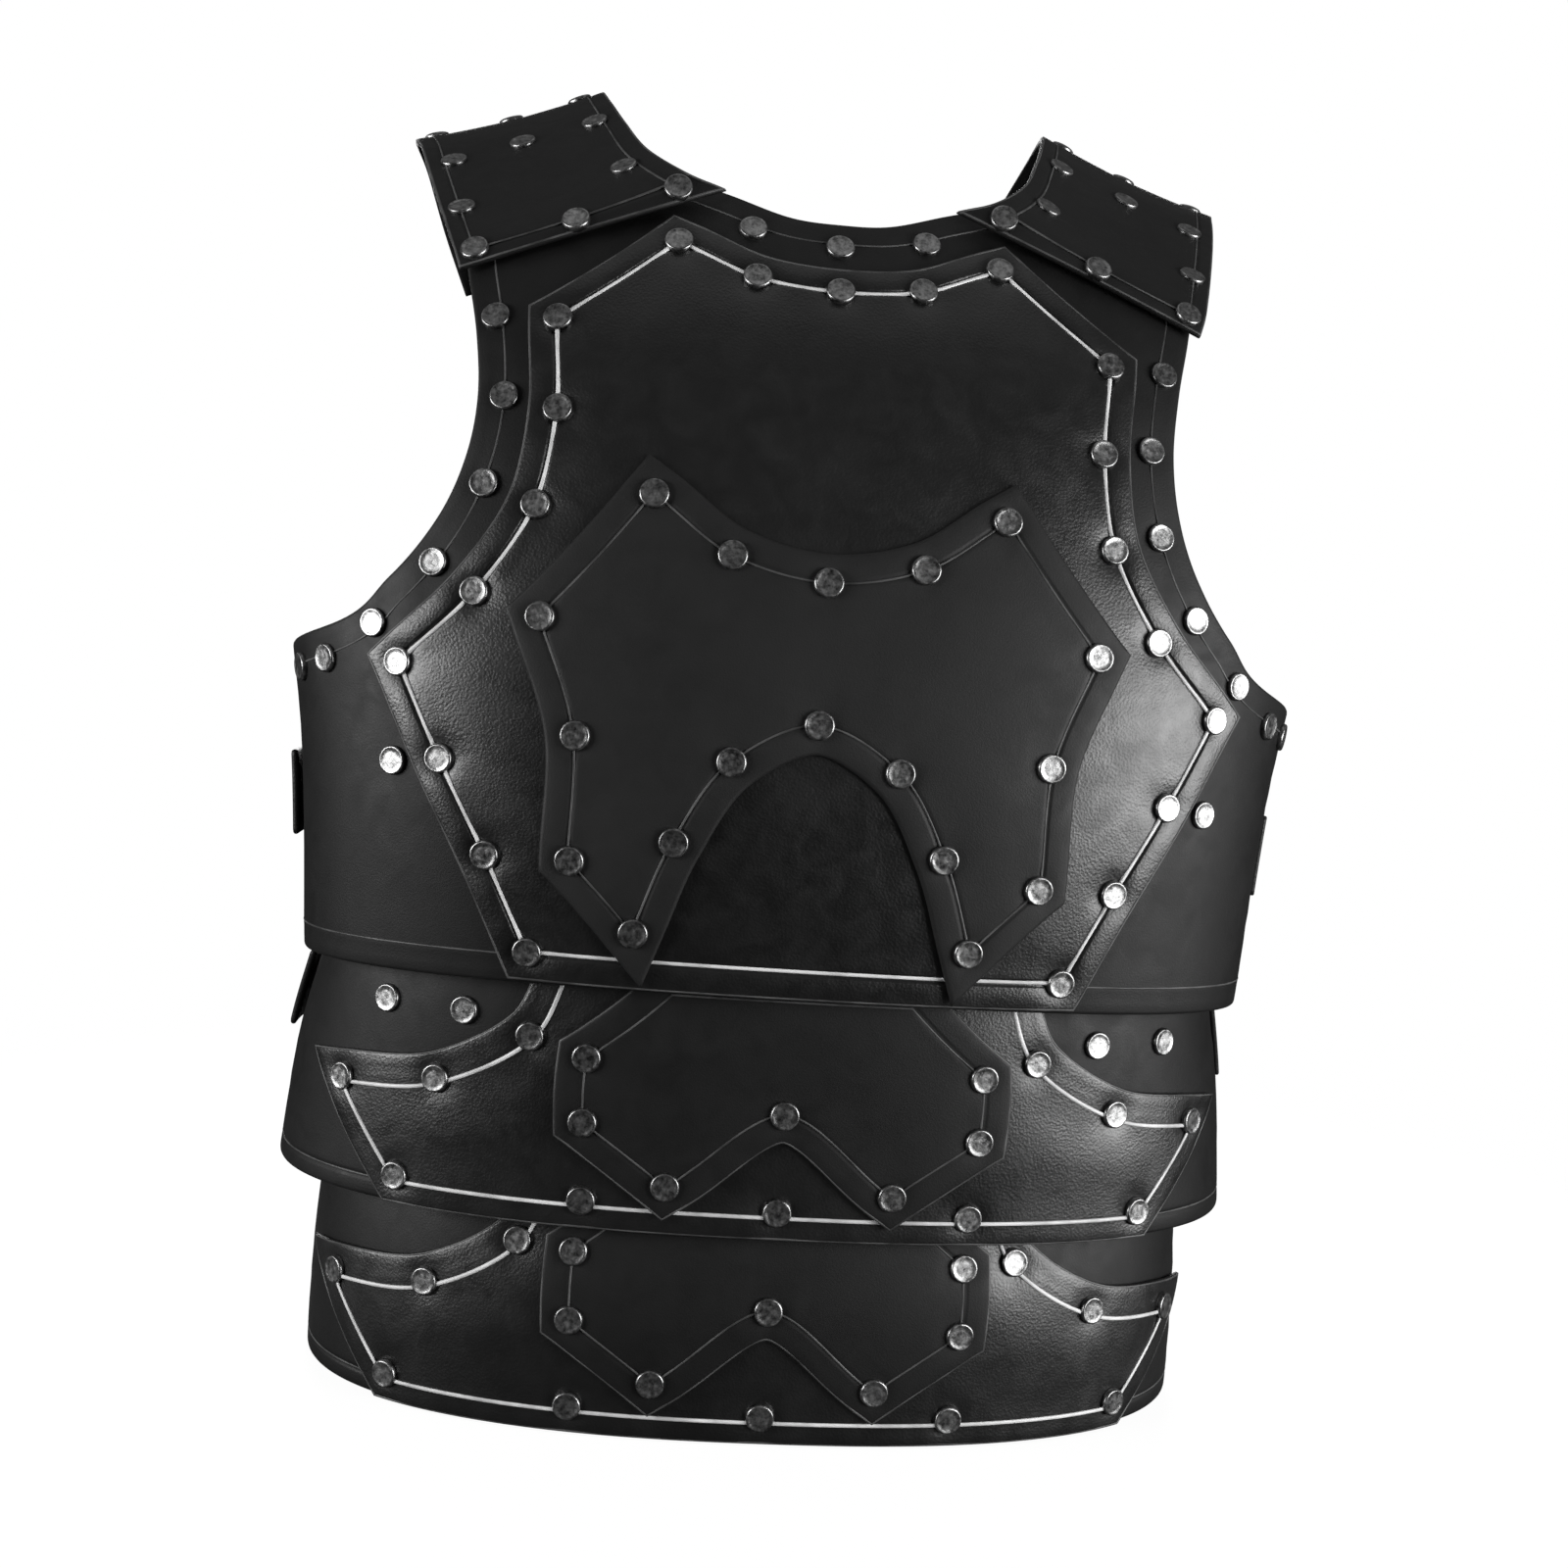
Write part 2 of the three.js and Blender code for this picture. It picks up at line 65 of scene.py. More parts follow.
HEAD_FOOT = -1.2        # from a rivet head's seat down into the leather
HEAD_SUNK = -0.3        # from a face to the seat of a rivet head on it
CAP_HEAD_SUNK = -0.7    # the same on the shoulder caps, where the heads are hammered flatter

# ------------------------------------------------------------------ how the forms are worked out
ROUNDNESS = 2.4         # exponent of the torso's oval
FLAT = 200.0            # radius at which a flat pattern's width is its turn
WIDEST = 0.9999         # share of the half width beyond which a point counts as at the side
PROBE = 0.4             # half the step over which a form's slope is taken
SAMPLE = 2.5            # spacing of the points along an outline
CURVE_POINTS = 40       # points of a curve between two table points, before it is spaced
SIDE_POINTS = 200       # points of a rectangle's side, before it is spaced
FIELD = 6.0             # spacing of the points inside a plate
CLEARANCE = 0.6         # share of that spacing which is kept free along the outline
HEAD_STEP = 18          # degrees between the points round a rivet head

# The forms, one row a height: z, half width, and the y of the front, the widest place, the back.
TORSO = np.array([
    [190, 214.5, -126, -24, 112],
    [285, 220.5, -130, -25, 125],
    [385, 236, -121, -16, 137],
    [465, 239, -99, 5, 139],
    [535, 235, -58, 42, 127],
    [580, 230, -20, 80, 107],
], float)
UPPER_LAME = np.array([
    [92, 225.5, -112, 8, 112],
    [150, 218.5, -111, 4, 106],
    [195, 207, -109.5, -8, 90],
    [225, 201, -102, -8, 79],
], float)
LOWER_LAME = np.array([
    [0, 208, -105.5, 8, 106],
    [25, 208, -105.5, 8, 106],
    [60, 207, -104.5, 8, 105],
    [92, 204.5, -98.5, 8, 99],
    [130, 200, -90, 8, 90],
], float)

# Right halves of the rivet lines and cut edges: x and z, then "corner" where the line turns
# sharply and "bare" where it has no rivet. A point far round the side has its turn in degrees.
# The z of a point on a waist lame counts from the lame's hem.
CHEST_LINE = [
    (0, 490), (35, 493.5), (68.5, 507, "corner"), (116, 469, "corner"), (113, 431), (119, 391.5),
    (141, 355), (170.5, 324.5, "corner"), (151, 286.5), (130, 249), (110.5, 210.5, "corner"),
]
CENTRE_LINE = [
    (0, 368), (39, 376), (71.5, 398, "corner"), (113, 346.5, "corner"), (96, 300.5),
    (95, 250.5, "corner"), (68, 223, "corner"), (54.5, 261), (34, 294.5), (0, 311.5),
]
LAME_PLATE_LINE = [
    (94, 108, "corner", "bare"), (107.5, 80), (146, 57), (187, 50, "corner"),
    (161, 12.5, "corner"), (82, 12.5), (0, 12.5),
]
LAME_CENTRE_LINE = [
    (50, 102, "corner", "bare"), (83, 74, "corner"), (83, 46.5, "corner"),
    (47.5, 22, "corner"), (0, 55),
]
LAME_BAND_RIVETS = [(171, 87), (137, 87)]
NECK_RIVETS = [(0, 513), (37.5, 518.5)]
ARMHOLE_RIVETS = [
    (142.5, 470), (136, 436), (141.5, 399.5), (160, 366), (184, 339.5), (205, 323),
]
TIP_RIVETS = [(218, 318)]
STRAP_RIVETS = [(172, 283.5)]
FRONT_EDGE = [
    (0, 525), (22, 526.5), (48, 535), (64, 540, "corner"), (159, 500, "corner"), (156, 487),
    (150.5, 463), (147.5, 436), (150.5, 410), (160.5, 384), (179, 359), (203, 338),
    ("turn 94", 321, "corner"), ("turn 94", 192.5, "corner"), (110, 196.5), (0, 197.5),
]
LINE_EDGE = FRONT_EDGE[:3] + [(77, 544, "corner"), (161, 509, "corner")] + FRONT_EDGE[5:]
BACK_EDGE = [
    (0, 548), (48, 550), (94, 562, "corner"), (172, 524, "corner"), (168, 500), (160, 440),
    (172, 375), (200, 342), ("turn 102", 325, "corner"), ("turn 102", 192.5, "corner"),
    (0, 192.5),
]
LAMES = [
    {"name": "upper_lame", "rows": UPPER_LAME, "hem": 92, "rise": 0, "band_rivets": True},
    {"name": "lower_lame", "rows": LOWER_LAME, "hem": 0, "rise": 4.5, "band_rivets": False},
]
BAND_HEIGHT = 128                       # of a waist lame's front and back band
FRONT_TURN, BACK_TURN = 94, 102         # degrees at which the front and the back band end

# The right shoulder cap, one line a row from the front edge over the crest to the back edge:
# its points on the neck side, in the middle and on the arm side.
SHOULDER = np.array([
    [[50, -66, 535], [105, -74, 512.5], [160, -75, 490]],
    [[67, -63, 541], [115, -68, 518], [164, -67, 500.5]],
    [[85, -33, 557], [130, -33, 537], [174, -35, 523.5]],
    [[96, 0, 576], [140, 0, 558], [184, 0, 546.5]],
    [[104, 30, 592.5], [147, 30, 575.5], [191.5, 30, 563.5]],
    [[109, 58, 603.5], [153, 58, 585.5], [197.5, 58, 572]],
    [[107, 86, 596], [151, 85, 580], [194, 82, 563]],
    [[98, 114, 575], [142, 110, 557], [186, 103, 538]],
    [[84, 131, 548], [130, 127, 530], [175, 117, 510]],
], float)
CAP_WIDTH, CAP_PITCH = 100.0, 30.0      # a cap's flat width, and the flat length of one row
SHOULDER_RIVETS = [     # row from the front edge, and share of the width from the neck side
    (0.62, 0.1), (0.7, 0.51), (0.7, 0.92), (1.75, 0.15), (1.85, 0.9), (3.15, 0.86),
    (3.35, 0.13), (3.35, 0.5), (5.05, 0.125), (5.05, 0.49), (5.05, 0.885), (6.3, 0.13),
    (6.3, 0.87), (7.4, 0.12), (7.4, 0.5), (7.4, 0.88),
]
STRAPS = [
    {"name": "chest", "rows": TORSO, "low": 242, "high": 280},
    {"name": "waist", "rows": UPPER_LAME, "low": 148, "high": 184.5},
]
STRAP_TURNS = (88, 132)         # degrees at which a strap ends in front and behind
CLASP_TURNS = (106, 115)        # the same for a clasp
CLASP_MARGIN = 3                # how far a clasp passes its strap above and below


# ------------------------------------------------------------------ forms
def column_values(rows, z):
    """Half width, front, side and back at heights z: a cubic through the rows whose slope at a
    row is the mean of the slopes on its two sides, and straight beyond the first and last row."""
    heights, values = rows[:, 0], rows[:, 1:]
    slopes = np.diff(values, axis=0) / np.diff(heights)[:, None]
    tangents = np.vstack([slopes[:1], (slopes[1:] + slopes[:-1]) / 2, slopes[-1:]])
    i = np.clip(np.searchsorted(heights, z, side="right") - 1, 0, len(heights) - 2)
    span = (heights[i + 1] - heights[i])[..., None]
    inside = np.clip(z, heights[0], heights[-1])
    beyond = (z - inside)[..., None]
    t = (inside - heights[i])[..., None] / span
    smooth = values[i] * (2 * t**3 - 3 * t**2 + 1) + values[i + 1] * (3 * t**2 - 2 * t**3)
    smooth += span * (tangents[i] * (t**3 - 2 * t**2 + t) + tangents[i + 1] * (t**3 - t**2))
    return smooth + beyond * np.where(beyond < 0, tangents[0], tangents[-1])


def torso_form(rows):
    """The form of the rows as a function of flat points (turn times FLAT, z): an oval whose
    radius is (|sin|/half width)^n + (|cos|/depth)^n, all to the power -1/n."""
    def point(p):
        turn, z = p[..., 0] / FLAT, p[..., 1]
        half_width, front, side, back = np.moveaxis(column_values(rows, z), -1, 0)
        depth = np.where(np.cos(turn) > 0, side - front, back - side)
        across = (np.abs(np.sin(turn)) / half_width) ** ROUNDNESS
        along = (np.abs(np.cos(turn)) / depth) ** ROUNDNESS
        reach = (across + along) ** (-1 / ROUNDNESS)
        return np.stack([reach * np.sin(turn), side - reach * np.cos(turn), z], -1)
    return point


def through_points(points, t):
    """A smooth curve through equally spaced points at parameters t, counted in points: between
    two points a cubic whose end slopes are half the step between their outer neighbours. The
    first and last steps are repeated beyond the ends."""
    i = np.clip(np.floor(t).astype(int), 0, len(points) - 2)
    w = (t - i).reshape(t.shape + (1,) * (points.ndim - 1))
    longer = np.concatenate([2 * points[:1] - points[1:2], points, 2 * points[-1:] - points[-2:-1]])
    a, b, c, d = (longer[i + k] for k in range(4))
    bend = (2 * b - 2 * c + (c - a) / 2 + (d - b) / 2) * w**3
    return bend + (3 * c - 3 * b - (c - a) - (d - b) / 2) * w**2 + (c - a) / 2 * w + b


def cap_form(p):
    """The right shoulder cap as a function of flat points: along the rows it is a smooth curve
    through the points of SHOULDER, and across them the parabola through its three points."""
    share, row = p[..., 0:1] / CAP_WIDTH, p[..., 1] / CAP_PITCH
    neck, middle, arm = np.moveaxis(through_points(SHOULDER, row), -2, 0)
    across = neck * (1 - share) * (1 - 2 * share) + middle * 4 * share * (1 - share)
    return across + arm * share * (2 * share - 1)


def frame_on(form, p):
    """The form's two edge vectors and its outward normal at flat points, by differences."""
    step = PROBE * np.eye(2)
    across = (form(p + step[0]) - form(p - step[0])) / (2 * PROBE)
    up = (form(p + step[1]) - form(p - step[1])) / (2 * PROBE)
    normal = np.cross(across, up)
    return across, up, normal / np.linalg.norm(normal, axis=-1, keepdims=True)


def raised(form, p, out):
    """Points `out` outside the form's face, along its normals."""
    return form(p) + frame_on(form, p)[2] * np.asarray(out)[..., None]


def flat_step(form, p, vector):
    """The flat step that a small vector lying in the form makes, by least squares."""
    across, up, _ = frame_on(form, p)
    aa, au, uu = (across * across).sum(-1), (across * up).sum(-1), (up * up).sum(-1)
    va, vu = (vector * across).sum(-1), (vector * up).sum(-1)
    share = aa * uu - au * au
    return np.stack([(va * uu - vu * au) / share, (vu * aa - va * au) / share], -1)


def turn_of(rows, x, z, behind=False):
    """The turn at which the front view, or behind the back view, shows a point at x and z."""
    half_width, front, side, back = column_values(rows, np.asarray(float(z)))
    depth = back - side if behind else side - front
    share = min(abs(x) / half_width, WIDEST)
    turn = np.arctan2(x, depth * (1 - share**ROUNDNESS) ** (1 / ROUNDNESS))
    return np.pi - turn if behind else turn


# ------------------------------------------------------------------ outlines
def flat_point(rows, point, side, behind):
    """A table point on the right (side 1) or left (side -1) half as a flat point."""
    x, z = point[:2]
    if isinstance(x, str):
        turn = np.radians(float(x.split()[1]))
        turn = turn if side > 0 else (2 * np.pi if behind else 0) - turn
    else:
        turn = turn_of(rows, side * x, z, behind)
    return np.array([turn * FLAT, z])


def whole_ring(rows, half, behind=False):
    """The closed ring of a half outline and its mirror image: flat points and corner marks."""
    mirrored = [p for p in half if p[0] != 0][::-1]
    points = [flat_point(rows, p, 1, behind) for p in half]
    points += [flat_point(rows, p, -1, behind) for p in mirrored]
    return np.array(points), ["corner" in p for p in list(half) + mirrored]


def spaced(form, curve):
    """A fine curve sampled again at even steps of about SAMPLE along the form."""
    steps = np.linalg.norm(np.diff(form(curve), axis=0), axis=1)
    length = np.concatenate([[0], np.cumsum(steps)])
    count = max(int(round(length[-1] / SAMPLE)), 3)
    at = np.linspace(0, length[-1], count + 1)
    return np.stack([np.interp(at, length, curve[:, k]) for k in range(2)], -1)


def drawn_runs(form, ring):
    """The ring as runs from corner to corner, each a smooth curve through its points, going
    round the plate anticlockwise as seen from outside."""
    points, corners = ring
    area = np.cross(points, np.roll(points, -1, axis=0)).sum()
    if area < 0:
        points, corners = points[::-1], corners[::-1]
    marks = [i for i, corner in enumerate(corners) if corner]
    runs = []
    for a, b in zip(marks, marks[1:] + [marks[0] + len(points)]):
        stretch = points[np.arange(a, b + 1) % len(points)]
        steps = np.linspace(0, b - a, CURVE_POINTS * (b - a) + 1)
        runs.append(spaced(form, through_points(stretch, steps)))
    return runs


def boxed_runs(form, left, right, low, high):
    """A rectangle's outline as four straight runs, anticlockwise."""
    corners = [(left, low), (right, low), (right, high), (left, high), (left, low)]
    share = np.linspace(0, 1, SIDE_POINTS)[:, None]
    sides = zip(np.array(corners[:-1], float), np.array(corners[1:], float))
    return [spaced(form, start + (end - start) * share) for start, end in sides]


def inset_ring(form, runs, distance):
    """The ring moved into the plate by `distance` along the form: every run keeps its number of
    points and is shortened or lengthened to meet its neighbours on the corners' bisectors. What
    is left between two runs at a corner is shared out along both, by the cube of the way."""
    directions = []
    for run in runs:
        tangent = np.gradient(form(run), axis=0)
        directions.append(tangent / np.linalg.norm(tangent, axis=1, keepdims=True))
    moved = []
    for k, run in enumerate(runs):
        place, tangent = form(run), directions[k]
        normal = frame_on(form, run)[2]
        length = np.concatenate([[0], np.cumsum(np.linalg.norm(np.diff(place, axis=0), axis=1))])
        cuts = []
        for before, after, at in ((directions[k - 1][-1], tangent[0], normal[0]),
                                  (tangent[-1], directions[(k + 1) % len(runs)][0], normal[-1])):
            turned = np.arctan2(np.cross(before, after) @ at, before @ after)
            cuts.append(distance * np.tan(turned / 2))
        share = length / length[-1]
        at = cuts[0] + (length[-1] - cuts[0] - cuts[1]) * share
        inside = np.clip(at, 0, length[-1])
        flat = np.stack([np.interp(inside, length, run[:, i]) for i in range(2)], -1)
        along = np.stack([np.interp(inside, length, tangent[:, i]) for i in range(3)], -1)
        inwards = np.cross(frame_on(form, flat)[2], along)
        vector = inwards * distance + along * (at - inside)[:, None]
        moved.append(flat + flat_step(form, flat, vector))
    for k, run in enumerate(moved):
        following = moved[(k + 1) % len(moved)]
        shift = (following[0] - run[-1]) / 2
        share = np.linspace(0, 1, len(run))[:, None] ** 3
        run += shift * share
        share = np.linspace(1, 0, len(following))[:, None] ** 3
        following -= (following[0] - run[-1]) * share
    return np.vstack([run[:-1] for run in moved])


# ------------------------------------------------------------------ meshes
def new_object(name, vertices, loops, sizes, material, nodes=()):
    """A smooth mesh object from vertices in millimetres, its faces' corners and their numbers
    of corners. It rides on the body and stands for the CAD nodes that are named."""
    mesh = bpy.data.meshes.new(name)
    mesh.vertices.add(len(vertices))
    mesh.vertices.foreach_set("co", (np.asarray(vertices) * MM).astype(np.float32).ravel())
    mesh.loops.add(len(loops))
    mesh.loops.foreach_set("vertex_index", np.asarray(loops, np.int32))
    mesh.polygons.add(len(sizes))
    starts = np.concatenate([[0], np.cumsum(sizes)[:-1]])
    mesh.polygons.foreach_set("loop_start", starts.astype(np.int32))
    mesh.polygons.foreach_set("use_smooth", np.ones(len(sizes), bool))
    mesh.update()
    mesh.validate()
    mesh.materials.append(material)
    piece = bpy.data.objects.new(name, mesh)
    scene.collection.objects.link(piece)
    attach(piece, "root")
    if nodes:
        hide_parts(*nodes)


def strip_faces(rows, columns):
    """Quads between stacked closed rings of points."""
    i, j = np.meshgrid(np.arange(rows - 1), np.arange(columns), indexing="ij")
    low, k = i * columns, (j + 1) % columns
    quads = np.stack([low + j, low + k, low + columns + k, low + columns + j], -1)
    return quads.reshape(-1, 4)


def inside_outline(points, outline):
    """Which points lie inside a closed outline: those with an odd number of crossings."""
    a, b = outline, np.roll(outline, -1, axis=0)
    x, y = points[:, 0:1], points[:, 1:2]
    crosses = (a[:, 1] > y) != (b[:, 1] > y)
    rise = np.where(b[:, 1] == a[:, 1], 1, b[:, 1] - a[:, 1])
    left = x < (b[:, 0] - a[:, 0]) * (y - a[:, 1]) / rise + a[:, 0]
    return (crosses & left).sum(1) % 2 == 1


def filled(form, outline, spacing):
    """The field inside an outline: its points on a grid of staggered rows, and the triangles
    that join them to each other and to the outline."""
    low, high = outline.min(0), outline.max(0)
    middle = ((low + high) / 2)[None]
    scale = [np.linalg.norm(v) for v in frame_on(form, middle)[:2]]
    step = spacing / np.array(scale)
    u, v = np.meshgrid(np.arange(low[0], high[0], step[0]), np.arange(low[1], high[1], step[1]))
    u[1::2] += step[0] / 2
    grid = np.stack([u.ravel(), v.ravel()], -1)
    grid = grid[inside_outline(grid, outline)]
    gap = np.linalg.norm((grid[:, None] - outline[None]) * scale, axis=2).min(1)
    grid = grid[gap > CLEARANCE * spacing]
    first = np.arange(len(outline))
    edges = np.stack([first, np.roll(first, -1)], -1)
    points = np.vstack([outline, grid])
    found = delaunay_2d_cdt(points.tolist(), edges.tolist(), [], 1, 1e-6)
    triangles = np.array(found[2])
    a, b, c = (points[triangles[:, k]] for k in range(3))
    clockwise = np.cross(b - a, c - a) < 0
    triangles[clockwise] = triangles[clockwise][:, ::-1]
    return grid, triangles


def plate_section(line, groove):
    """A plate's section from inside its line of rivets, round the cut edge, to its inner face:
    distances from the edge, and heights above the face. The line is pressed in by `groove`."""
    return np.array([
        [line + 4.0, 0], [line + 2.2, 0], [line + 1.2, -0.1 * groove], [line + 0.7, -0.5 * groove],
        [line + 0.1, -0.9 * groove], [line - 0.7, -groove], [line - 1.3, -0.9 * groove],
        [line - 1.7, -0.3 * groove], [line - 2.4, -0.05], [line * 0.45, -0.05], [1.6, -0.12],
        [0.8, -0.3], [0.25, -0.7],
        [0, -1.2], [0, 1.0 - LEATHER], [0.3, 0.35 - LEATHER], [1.0, -LEATHER],
        [line + 4.0, -LEATHER],
    ])


def leather_plate(name, form, runs, out, material, nodes, line=RIM, groove=0.5, crown=0.0,
                  rivets=(), dimple=0.7, spacing=FIELD, mirror=False):
    """A leather plate on a form: the section carried round its outline, and a field inside.
    The field is crowned: it rises by crown times one less a bell curve of the distance from the
    rim. Round each rivet the leather is drawn in by dimple times a bell curve."""
    section = plate_section(line, groove)
    rings = np.stack([inset_ring(form, runs, d) for d, _ in section])
    count = rings.shape[1]
    field, triangles = filled(form, rings[0], spacing)
    flat = np.vstack([rings.reshape(-1, 2), field, field])
    height = np.concatenate([
        np.repeat(section[:, 1], count), np.zeros(len(field)), np.full(len(field), -LEATHER)])
    place = form(flat)
    outer = np.concatenate([np.repeat(section[:, 1] > -1, count), np.ones(len(field), bool),
                            np.zeros(len(field), bool)])
    field_top = slice(rings.size // 2, rings.size // 2 + len(field))
    if crown:
        gaps = place[field_top][:, None] - place[None, :count:3]
        distance = np.linalg.norm(gaps, axis=2).min(1)
        height[field_top] += crown * (1 - np.exp(-(distance / CROWN_REACH) ** 2))
    for rivet in rivets:
        distance = np.linalg.norm(place - form(np.asarray(rivet)[None]), axis=1)
        height -= outer * dimple * np.exp(-(distance / DRAWN_REACH) ** 2)
    vertices = raised(form, flat, out + height)
    inner_rim = (len(section) - 1) * count
    top = np.where(triangles < count, triangles, triangles - count + field_top.start)
    low = np.where(triangles < count, triangles + inner_rim, triangles - count + field_top.stop)
    quads = strip_faces(len(section), count)[:, ::-1]
    if mirror:
        vertices = vertices * [-1, 1, 1]
        top, low, quads = top[:, ::-1], low[:, ::-1], quads[:, ::-1]
    loops = np.concatenate([quads.ravel(), top.ravel(), low[:, ::-1].ravel()])
    sizes = np.concatenate([np.full(len(quads), 4), np.full(2 * len(triangles), 3)])
    new_object(name, vertices, loops, sizes, material, nodes)


def pressed_line(name, form, runs, inset, out, material, width=LINE_WIDTH, height=LINE_HEIGHT,
                 mirror=False):
    """A bead in a plate's pressed line: a section, half round above and pointed below, carried
    round the plate."""
    angles = np.radians([180, 135, 90, 45, 0, 270])
    rings = np.stack([inset_ring(form, runs, inset + width / 2 * np.cos(a)) for a in angles])
    count = rings.shape[1]
    heights = np.repeat(height * np.sin(angles), count)
    vertices = raised(form, rings.reshape(-1, 2), out + heights)
    quads = strip_faces(len(rings) + 1, count) % (len(rings) * count)
    if mirror:
        vertices = vertices * [-1, 1, 1]
        quads = quads[:, ::-1]
    new_object(name, vertices, quads.ravel(), np.full(len(quads), 4), material)


def rivet_heads(name, form, flats, out, material, nodes=(), mirror=False):
    """Rivet heads on a form: a flat disc in a rolled rim, turned about the form's normal."""
    profile = np.array([[3.2, HEAD_TOP], [4.7, 1.72], [5.25, 1.95], [5.7, 1.9], [6.05, 1.5],
                        [6.2, 0.9], [6.15, HEAD_FOOT]])
    spin = np.radians(np.arange(0, 360, HEAD_STEP))
    flats = np.asarray(flats, float)
    across, _, normal = frame_on(form, flats)
    side = across / np.linalg.norm(across, axis=1, keepdims=True)
    up = np.cross(normal, side)
    centre = raised(form, flats, np.full(len(flats), float(out)))
    ring = (np.cos(spin)[None, :, None] * side[:, None] + np.sin(spin)[None, :, None] * up[:, None])
    body = centre[:, None, None] + profile[None, :, None, 0:1] * ring[:, None] \
        + profile[None, :, None, 1:2] * normal[:, None, None]
    poles = np.stack([centre + normal * HEAD_TOP, centre + normal * HEAD_FOOT], 1)
    rings, turns = len(profile), len(spin)
    vertices = np.concatenate([body.reshape(len(flats), -1, 3), poles], 1).reshape(-1, 3)
    quads = strip_faces(rings, turns)[:, ::-1]
    j = np.arange(turns)
    k, foot, pole = (j + 1) % turns, (rings - 1) * turns, rings * turns
    top = np.stack([j, k, np.full(turns, pole)], -1)
    bottom = np.stack([foot + k, foot + j, np.full(turns, pole + 1)], -1)
    if mirror:
        vertices = vertices * [-1, 1, 1]
        quads, top, bottom = quads[:, ::-1], top[:, ::-1], bottom[:, ::-1]
    shift = (np.arange(len(flats)) * (pole + 2))[:, None, None]
    quads = (quads[None] + shift).reshape(-1, 4)
    ends = (np.concatenate([top, bottom])[None] + shift).reshape(-1, 3)
    loops = np.concatenate([quads.ravel(), ends.ravel()])
    sizes = np.concatenate([np.full(len(quads), 4), np.full(len(ends), 3)])
    new_object(name, vertices, loops, sizes, material, nodes)


# ------------------------------------------------------------------ materials
POLISH_SPREAD = 0.06    # how far a leather's roughness varies to each side of its middle
PORE_SHARE = 0.3        # height of the fine pores in the bump, against the pebbles' 1
CREASE_SHARE = 0.9      # height of the soft creases in the bump, against the pebbles' 1


def node_adder(tree):
    """A function that adds a node to the tree and sets its inputs and settings by their names."""
    def add(kind, **settings):
        node = tree.nodes.new(kind)
        for key, value in settings.items():
            if key in node.inputs:
                node.inputs[key].default_value = value
            else:
                setattr(node, key, value)
        return node
    return add


def node_material(name):
    """A new material with its node tree's Principled shader and a function that adds nodes."""
    material = bpy.data.materials.new(name)
    material.use_nodes = True
    tree = material.node_tree
    return material, tree, tree.nodes["Principled BSDF"], node_adder(tree)


def ramp_between(add, low, high, first, second):
    """A colour ramp from one grey to another between two positions."""
    ramp = add("ShaderNodeValToRGB")
    for stop, position, grey in zip(ramp.color_ramp.elements, (low, high), (first, second)):
        stop.position = position
        stop.color = (grey, grey, grey, 1)
    return ramp


def mapped(add, low, high, first, second, **settings):
    """A node that maps the range from low to high onto the range from first to second."""
    node = add("ShaderNodeMapRange", **settings)
    ends = {"From Min": low, "From Max": high, "To Min": first, "To Max": second}
    for key, value in ends.items():
        node.inputs[key].default_value = value
    return node


def leather_material(name, greys, rough, grain, pore_scale, shine):
    """Dyed leather: pebbled grain, fine pores and soft creases in the bump, a dye that varies
    between two greys in soft patches, and a roughness that varies with the creases. grain is
    the bump's depth, rough the middle roughness, shine the polish."""
    material, tree, shader, add = node_material(name)
    place = add("ShaderNodeTexCoord")
    patches = add("ShaderNodeTexNoise", Scale=14.0, Detail=4.0, Roughness=0.6)
    pebbles = add("ShaderNodeTexVoronoi", feature="SMOOTH_F1", Scale=pore_scale, Smoothness=0.6)
    pores = add("ShaderNodeTexNoise", Scale=pore_scale * 2.4, Detail=3.0, Roughness=0.7)
    creases = add("ShaderNodeTexNoise", Scale=70.0, Detail=3.0, Roughness=0.55, Distortion=0.8)
    for texture in (patches, pebbles, pores, creases):
        tree.links.new(place.outputs["Object"], texture.inputs["Vector"])
    dye = ramp_between(add, 0.3, 0.72, *greys)
    tree.links.new(patches.outputs["Fac"], dye.inputs["Fac"])
    tree.links.new(dye.outputs["Color"], shader.inputs["Base Color"])
    polish = mapped(add, 0.3, 0.7, rough - POLISH_SPREAD, rough + POLISH_SPREAD)
    tree.links.new(creases.outputs["Fac"], polish.inputs["Value"])
    tree.links.new(polish.outputs["Result"], shader.inputs["Roughness"])
    heights = add("ShaderNodeMath", operation="MULTIPLY_ADD")
    heights.inputs[1].default_value = PORE_SHARE
    tree.links.new(pores.outputs["Fac"], heights.inputs[0])
    tree.links.new(pebbles.outputs["Distance"], heights.inputs[2])
    soft = add("ShaderNodeMath", operation="MULTIPLY_ADD")
    soft.inputs[1].default_value = CREASE_SHARE
    tree.links.new(creases.outputs["Fac"], soft.inputs[0])
    tree.links.new(heights.outputs["Value"], soft.inputs[2])
    bump = add("ShaderNodeBump", Strength=grain, Distance=0.0006)
    tree.links.new(soft.outputs["Value"], bump.inputs["Height"])
    tree.links.new(bump.outputs["Normal"], shader.inputs["Normal"])
    shader.inputs["Specular IOR Level"].default_value = shine
    return material


